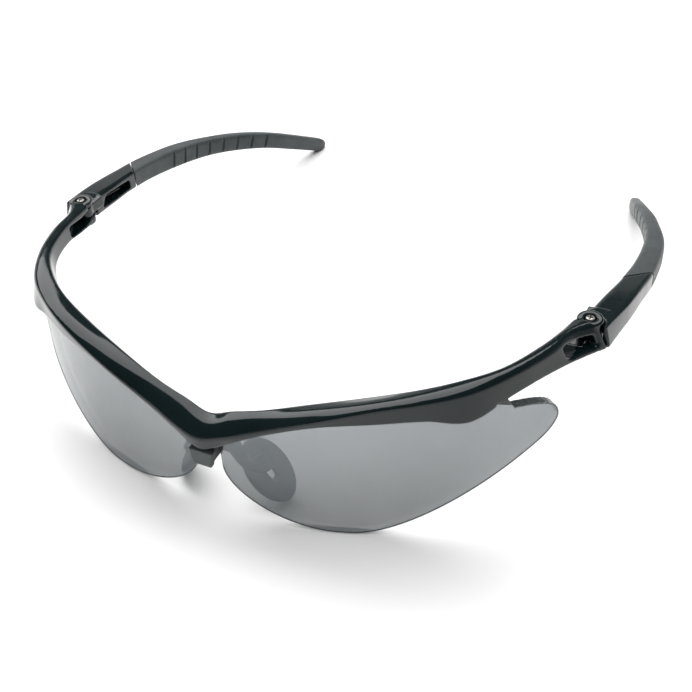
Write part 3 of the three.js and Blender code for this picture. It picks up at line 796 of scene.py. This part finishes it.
def nut_shape():
    """The hexagonal nut in the lower leaf, chamfered at both ends."""
    low = LEAF_BOTTOM_Z + 0.1
    high = LEAF_BOTTOM_Z + NUT_HEIGHT
    nut = hinge_drum("nut_shape", NUT_RADIUS, low, high, 6)
    chamfer = [
        (0.2, low), (NUT_RADIUS - 0.2, low), (NUT_RADIUS + 0.05, low + 0.18),
        (NUT_RADIUS + 0.05, high - 0.18), (NUT_RADIUS - 0.2, high), (0.2, high),
    ]
    cut(nut, [lathe("nut_chamfer", chamfer)], "INTERSECT")
    cut(nut, [hinge_drum("nut_bore", SCREW_RADIUS + 0.2, low - 1, high + 1, 32)])
    return shade_smooth(nut, 40)


# ---------------------------------------------------------------- temples


def temple_ring(t, width, height, squareness, lean, sides):
    """One ring round the temple at t. squareness 1 is an ellipse, nearer 0 is a box. lean is how
    much of the half width the outer face loses on its way up."""
    along = TEMPLE.tangent(t)
    outward = unit(np.cross(along, (0, 0, 1)))
    upward = unit(np.cross(outward, along))
    angles = (np.arange(sides) + 0.5) / sides * 2 * math.pi
    across = np.sign(np.cos(angles)) * np.abs(np.cos(angles)) ** squareness
    up = np.sign(np.sin(angles)) * np.abs(np.sin(angles)) ** squareness
    across = np.minimum(across, 1 - lean * (up + 1) / 2)
    place = TEMPLE.at(t)
    return place + np.outer(across * width / 2, outward) + np.outer(up * height / 2, upward)


def temple_size(t):
    """The temple's width, height and lean at t."""
    return eased(TEMPLE_WIDTH, t), eased(TEMPLE_HEIGHT, t), eased(OUTER_LEAN, t)


def behind_joint(name, offset):
    """A big block whose front face is the slanting joint between arm and sleeve."""
    slant = math.atan2(JOINT_OUTER[1] - JOINT_INNER[1], JOINT_OUTER[0] - JOINT_INNER[0])
    along = np.array((math.cos(slant), math.sin(slant)))
    back = np.array((-along[1], along[0]))
    start = np.array(JOINT_INNER) + back * offset
    reach = 60
    corners = [start - along * reach, start + along * reach]
    corners += [corners[1] + back * 2 * reach, corners[0] + back * 2 * reach]
    return prism(name, corners, -40, 90, along_z)


def tongue(name, margin):
    """The arm's tongue inside the sleeve, made larger all round by the margin."""
    start = TEMPLE.part_at_y(JOINT_INNER[1] - 4)
    end = TEMPLE.part_at_y(JOINT_INNER[1] + 4 + TONGUE_LENGTH + margin)
    width = TONGUE_WIDTH + 2 * margin
    height = TONGUE_HEIGHT + 2 * margin
    rings = [
        temple_ring(t, width, height, TONGUE_SQUARENESS, 0, 16)
        for t in np.linspace(start, end, 16)
    ]
    return loft(name, rings)


def arm_pocket():
    """The slanted pocket in the arm's inner face."""
    corners = np.array([(57.6, 28.6), (71.6, 26.3), (71.4, 28.7), (59.4, 31.2)])
    outline = rounded_ring(corners, [0.7, 0.8, 0.8, 1.3], 6)
    return prism("pocket", outline, 55, HINGE_X + 2.4, along_x)


def arm_shape():
    """The hard front half of the temple, with its knuckle, bore, pocket and tongue."""
    rings = []
    for t in np.linspace(0, TEMPLE.part_at_y(86), ARM_STEPS):
        width, height, lean = temple_size(t)
        rings.append(temple_ring(t, width, height, ARM_SQUARENESS, lean, 64))
    arm = loft("arm_shape", rings)
    below, above = 20, 40  # well clear of the arm
    tools = [
        block("front_end", (50, 40, below), (80, TEMPLE_START_Y, above)),
        behind_joint("joint", 0),
        hinge_drum("leaf_room", LEAF_RADIUS + 0.4, below, above),
        block("inner_room", (55, 40, below), (HINGE_X, FOLD_ROOM_Y, above)),
    ]
    cut(arm, tools)
    low, high = SLOT_BOTTOM_Z + GAP, SLOT_TOP_Z - GAP
    neck_low = (HINGE_X - 2, HINGE_Y, low)
    neck_high = (HINGE_X + KNUCKLE_RADIUS, HINGE_Y + 6, high)
    parts = [
        hinge_drum("knuckle", KNUCKLE_RADIUS, low, high),
        block("neck", neck_low, neck_high),
        tongue("tongue", 0),
    ]
    cut(arm, parts, "UNION")
    cut(arm, [hinge_drum("bore", KNUCKLE_BORE_RADIUS, below, above, 32), arm_pocket()])
    return moulded(arm, ARM_VOXEL, passes=4)


def groove_depth(y):
    """How deep the grip grooves are at a given Y along the sleeve."""
    deep = 0.0
    for number in range(GROOVE_COUNT):
        away = abs(y - GROOVE_FIRST_Y - number * GROOVE_PITCH_Y) / (GROOVE_WIDTH / 2)
        deep = max(deep, GROOVE_DEPTH * (1 - away**2) if away < 1 else 0.0)
    return deep


def tip_round(t):
    """How much of its size the section keeps at t, as the sleeve's tip closes in a rounded end."""
    past = max(0.0, (t - TIP_ROUND_FROM) / (1 - TIP_ROUND_FROM))
    return math.sqrt(max(0.0009, 1 - past * past))


def sleeve_ring(t):
    """One ring of the sleeve, pushed in on its inner face where it crosses a grip groove."""
    width, height, lean = temple_size(t)
    shrink = tip_round(t)
    squareness = eased(SLEEVE_SQUARENESS, t)
    ring = temple_ring(t, width * shrink, height * shrink, squareness, lean, 96)
    deep = groove_depth(TEMPLE.at(t)[1])
    if deep:
        outward = unit(np.cross(TEMPLE.tangent(t), (0, 0, 1)))
        across = (ring - TEMPLE.at(t)) @ outward
        limit = deep - width / 2
        ring = ring + np.outer(np.maximum(limit - across, 0), outward)
    return ring


def sleeve_shape():
    """The soft rear half of the temple, cut to the joint, the arm's tongue and the table."""
    body = np.linspace(TEMPLE.part_at_y(70), TIP_ROUND_FROM - 0.001, SLEEVE_STEPS)
    tip = TIP_ROUND_FROM + (1 - TIP_ROUND_FROM) * np.sin(np.linspace(0, math.pi / 2, TIP_STEPS))
    steps = np.concatenate([body, tip])
    sleeve = loft("sleeve_shape", [sleeve_ring(t) for t in steps])
    cut(sleeve, [behind_joint("sleeve_joint", GAP)], "INTERSECT")
    cut(sleeve, [tongue("tongue_room", GAP), block("under_table", (30, 100, -10), (80, 170, 0))])
    return shade_smooth(sleeve, 42)


# ---------------------------------------------------------------- nose bridge and pads

PAD_OUTWARD = unit((1, -0.42, 0.55))
PAD_DOWN = np.array((6, 2.5, -16.0))
PAD_DOWN = unit(PAD_DOWN - PAD_OUTWARD * (PAD_DOWN @ PAD_OUTWARD))
PAD_ACROSS = np.cross(PAD_DOWN, PAD_OUTWARD)


def pad_point(forward, down, outward):
    """A point given by its distances from the pad's centre: forward, down the pad and outward."""
    return PAD_CENTRE + PAD_ACROSS * forward + PAD_DOWN * down + PAD_OUTWARD * outward


def slot_rim(angle):
    """A point of the pad's slot, a straight-sided opening with round ends, at that angle."""
    straight = (PAD_SLOT_LENGTH - PAD_SLOT_WIDTH) / 2
    radius = PAD_SLOT_WIDTH / 2
    x, y = math.cos(angle), math.sin(angle)
    along_side = np.clip(2.2 * y, -1, 1)  # reaches the round ends before the angle does
    return (radius * x, radius * y + straight * along_side)


def pad_shape():
    """A crowned ring of rubber round the slot. The profile gives how far a point lies from the
    slot's rim, 0, to the outer rim, 1, and how far out of the pad's plane."""
    profile = [
        (0.0, -0.4), (0.06, -0.05), (0.3, 0.0), (0.75, -0.05), (0.95, -0.3), (1.0, -0.8),
        (0.97, -1.3), (0.85, -1.75), (0.6, -2.1), (0.25, -PAD_THICKNESS), (0.06, -2.1), (0.0, -1.75),
    ]
    section = smooth_curve(profile + profile[:1], 60)[:-1]
    rings = []
    for angle in np.linspace(0, 2 * math.pi, 120, endpoint=False):
        inner = np.array(slot_rim(angle))
        outer = np.array((PAD_WIDTH / 2 * math.cos(angle), PAD_LENGTH / 2 * math.sin(angle)))
        rings.append([pad_point(*(inner + (outer - inner) * q), o) for q, o in section])
    return shade_smooth(loft("pad_shape", rings, closed=True))


def strap(name, stations, steps):
    """A flat strap through the stations, each a centre, a width vector and a depth vector."""
    tracks = []
    for along_width, along_depth in ((-0.5, -0.5), (0.5, -0.5), (0.5, 0.5), (-0.5, 0.5)):
        corner = [c + w * along_width + d * along_depth for c, w, d in stations]
        tracks.append(smooth_curve(corner, steps))
    return loft(name, np.array(tracks).transpose(1, 0, 2))


def pad_arm():
    """The bridge's left arm: it leaves sideways, turns back along the pad's outer face and ends in
    a peg in the upper end of the pad's slot."""
    offset = GAP + PAD_ARM_THICKNESS / 2
    thickness = -PAD_OUTWARD * PAD_ARM_THICKNESS
    stations = [
        (np.array((3.3, 5.5, 16.5)), np.array((0.5, 0, 4.2)), np.array((0, 1.4, 0))),
        (np.array((6.9, 4.9, 13.8)), np.array((1.3, 0.1, 3.8)), np.array((0.2, 1.2, 0))),
        (pad_point(2.2, -4, offset + 0.3), -PAD_DOWN * 4.6, thickness),
        (pad_point(-0.6, -2.6, offset), -PAD_DOWN * 4.2, thickness),
    ]
    arm = strap("pad_arm", stations, 40)
    side = (PAD_SLOT_WIDTH - 2 * GAP) / 2
    upper = GAP + PEG_SETBACK - PAD_SLOT_LENGTH / 2 - PEG_LENGTH / 2
    lower = GAP + PEG_SETBACK - PAD_SLOT_LENGTH / 2 + PEG_LENGTH / 2
    corners = [(-side, upper), (side, upper), (side, lower), (-side, lower)]
    levels = (0.5 - PAD_THICKNESS, 0.5)
    peg = loft("peg", [[pad_point(*corner, level) for corner in corners] for level in levels])
    return cut(arm, [peg], "UNION")


def build_nose_bridge():
    """A tab in front of the lens, a saddle through the lens's notch and a cross-piece with two arms."""
    top, bottom = TAB_WIDTH / 2, TAB_BOTTOM_WIDTH / 2
    tab = [(-top, TAB_TOP_Z), (-bottom, TAB_BOTTOM_Z), (bottom, TAB_BOTTOM_Z), (top, TAB_TOP_Z)]
    bridge = prism("tab", tab, TAB_FRONT_Y, TAB_BACK_Y, along_y)
    overlap = 0.2  # of the saddle with the tab, so that they join
    saddle_low = (-SADDLE_HALF_WIDTH, TAB_BACK_Y - overlap, SADDLE_BOTTOM_Z)
    cross_low = (-CROSS_PIECE_HALF_WIDTH, CROSS_PIECE_FRONT_Y, TAB_BOTTOM_Z)
    parts = [
        block("saddle", saddle_low, (SADDLE_HALF_WIDTH, SADDLE_BACK_Y, TAB_TOP_Z)),
        block("cross_piece", cross_low, (CROSS_PIECE_HALF_WIDTH, SADDLE_BACK_Y, TAB_TOP_Z)),
        *both_sides([pad_arm()]),
    ]
    cut(bridge, parts, "UNION")
    moulded(bridge, BRIDGE_VOXEL, passes=4)
    placed(bridge, "nose_saddle", "front", "nose_bridge", PAD)


# ---------------------------------------------------------------- both sides


def place_pair(shape, base, node, material, bodies):
    """Places a left-hand shape and its mirror image, each on its own body."""
    twin = mirrored(shape, shape.name + "_twin")
    for obj, side in ((shape, "left"), (twin, "right")):
        placed(obj, f"{base}_{side}", bodies.format(side), f"{node}_{side}", material)


build_brow()
build_lens()
build_nose_bridge()
place_pair(pad_shape(), "pad_rubber", "nose_pad", PAD, "front")
place_pair(screw_shape(), "screw", "hinge_screw", STEEL, "front")
place_pair(nut_shape(), "nut", "hinge_nut", BRASS, "front")
place_pair(arm_shape(), "arm_shell", "temple_arm", GLOSS, "{}_temple")
place_pair(sleeve_shape(), "sleeve_soft", "temple_sleeve", SLEEVE, "{}_temple")

# ---------------------------------------------------------------- table, light and camera, in metres

TABLE_FLAT_RADIUS = 2.2
TABLE_RIM_RADIUS = 3.2
TABLE_RIM_HEIGHT = 0.95
TABLE_DROP = 0.0002  # keeps the table's top just clear of the flats that stand on it

CAMERA_PLACE = (0.10695, -0.21147, 0.17784)
CAMERA_AZIMUTH = math.radians(28.09)
CAMERA_ELEVATION = math.radians(38.40)
CAMERA_ROLL = math.radians(-3.719)
CAMERA_FOCAL_LENGTH = 59.70  # in millimetres, on a sensor of this width
CAMERA_SENSOR_WIDTH = 36


def table_material():
    m = Nodes("pale_table")
    m.set(Roughness=0.6)
    tone = [(0.3, (0.86, 0.86, 0.855)), (0.7, (0.88, 0.88, 0.875))]
    m.feed("Base Color", m.ramp(m.noise(3, 3), tone))
    return m.material


def build_table():
    """A round pale table top that sweeps up all round into a low wall, far from the glasses."""
    flat, wall, height = TABLE_FLAT_RADIUS / MM, TABLE_RIM_RADIUS / MM, TABLE_RIM_HEIGHT / MM
    profile = [(0.001, 0), (flat / 2, 0), (flat, 0)]
    profile += [
        (flat + (wall - flat) * math.sin(a), height * (1 - math.cos(a)))
        for a in np.linspace(0.1, math.pi / 2, 14)
    ]
    angles = np.arange(96) / 96 * 2 * math.pi
    rings = [[(r * math.cos(a), r * math.sin(a) - SHIFT_Y, z) for a in angles] for r, z in profile]
    points, faces = loft_data(rings)
    table = new_object("table_top", points, faces[:-2])
    table.data.materials.append(table_material())
    table.location.z = -TABLE_DROP
    shade_smooth(table)


def ceiling_light(name, centre, size, power, mirrored_in_gloss=True):
    """A rectangular soft light that hangs level and shines straight down."""
    data = bpy.data.lights.new(name, "AREA")
    data.shape = "RECTANGLE"
    data.size, data.size_y = size
    data.energy = power
    lamp = bpy.data.objects.new(name, data)
    lamp.visible_glossy = mirrored_in_gloss
    lamp.location = centre
    bpy.context.scene.collection.objects.link(lamp)


def build_world():
    world = bpy.data.worlds.new("studio")
    bpy.context.scene.world = world
    world.use_nodes = True
    backdrop = world.node_tree.nodes["Background"]
    backdrop.inputs["Color"].default_value = (0.10, 0.103, 0.104, 1)
    backdrop.inputs["Strength"].default_value = 1.0


def build_camera():
    """The main viewpoint: its direction, its small roll, its place and its lens."""
    azimuth, elevation, roll = CAMERA_AZIMUTH, CAMERA_ELEVATION, CAMERA_ROLL
    level = Vector((math.cos(azimuth), math.sin(azimuth), 0))
    away = Vector((math.sin(azimuth), -math.cos(azimuth), 0))
    back = away * math.cos(elevation) + Vector((0, 0, math.sin(elevation)))
    upright = back.cross(level)
    right = level * math.cos(roll) + upright * math.sin(roll)
    up = upright * math.cos(roll) - level * math.sin(roll)
    data = bpy.data.cameras.new("camera")
    data.lens = CAMERA_FOCAL_LENGTH
    data.sensor_width = CAMERA_SENSOR_WIDTH
    data.clip_start = 0.01
    data.clip_end = 20
    camera = bpy.data.objects.new("camera", data)
    axes = Matrix((right, up, back)).transposed().to_4x4()
    camera.matrix_world = Matrix.Translation(CAMERA_PLACE) @ axes
    bpy.context.scene.collection.objects.link(camera)
    bpy.context.scene.camera = camera


build_table()
build_world()
ceiling_light("long_softbox", centre=(-0.85, 0.66, 0.9), size=(2.1, 1.2), power=23)
ceiling_light("overhead_scrim", (0, 0, 1.6), (2.8, 2.8), power=46, mirrored_in_gloss=False)
build_camera()
bpy.context.scene.view_settings.view_transform = "Standard"

bpy.context.view_layer.update()
